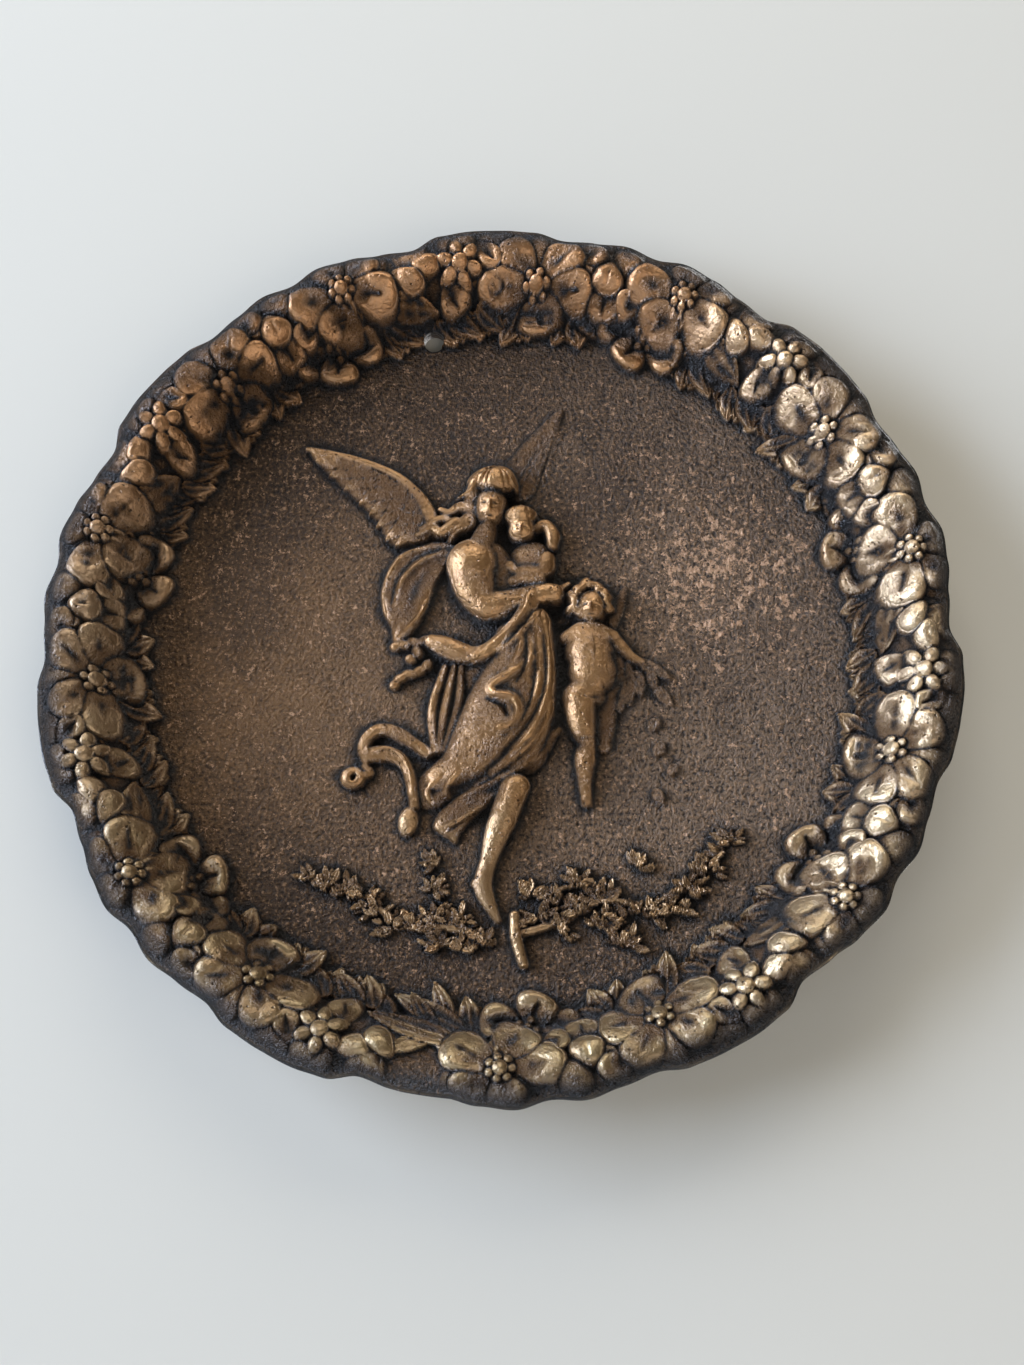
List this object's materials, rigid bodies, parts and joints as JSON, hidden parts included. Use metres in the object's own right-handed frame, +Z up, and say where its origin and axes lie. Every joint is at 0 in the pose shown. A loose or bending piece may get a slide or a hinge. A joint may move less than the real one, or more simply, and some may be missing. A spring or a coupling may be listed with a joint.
{
  "type": "relief plaque",
  "caption": "Round cast wall plate, a shallow dish with a scalloped rim, a wreath of flowers in relief round a winged figure with children, hung by a round hole.",
  "frame": {"origin": "centre of the hanging hole, on the plane of the plate's flat back", "axes": "+Z up as the picture stands, +X to the viewer's right, -Y out of the wall towards the viewer, +Y into the wall"},
  "size_m": [0.2505, 0.0219, 0.2519],
  "materials": {
    "bronze": "cast bronze with a dark brown patina in the hollows, rubbed to golden brown on the raised parts"
  },
  "bodies": {
    "root": {"plaque": "bronze"}
  },
  "joints": []
}
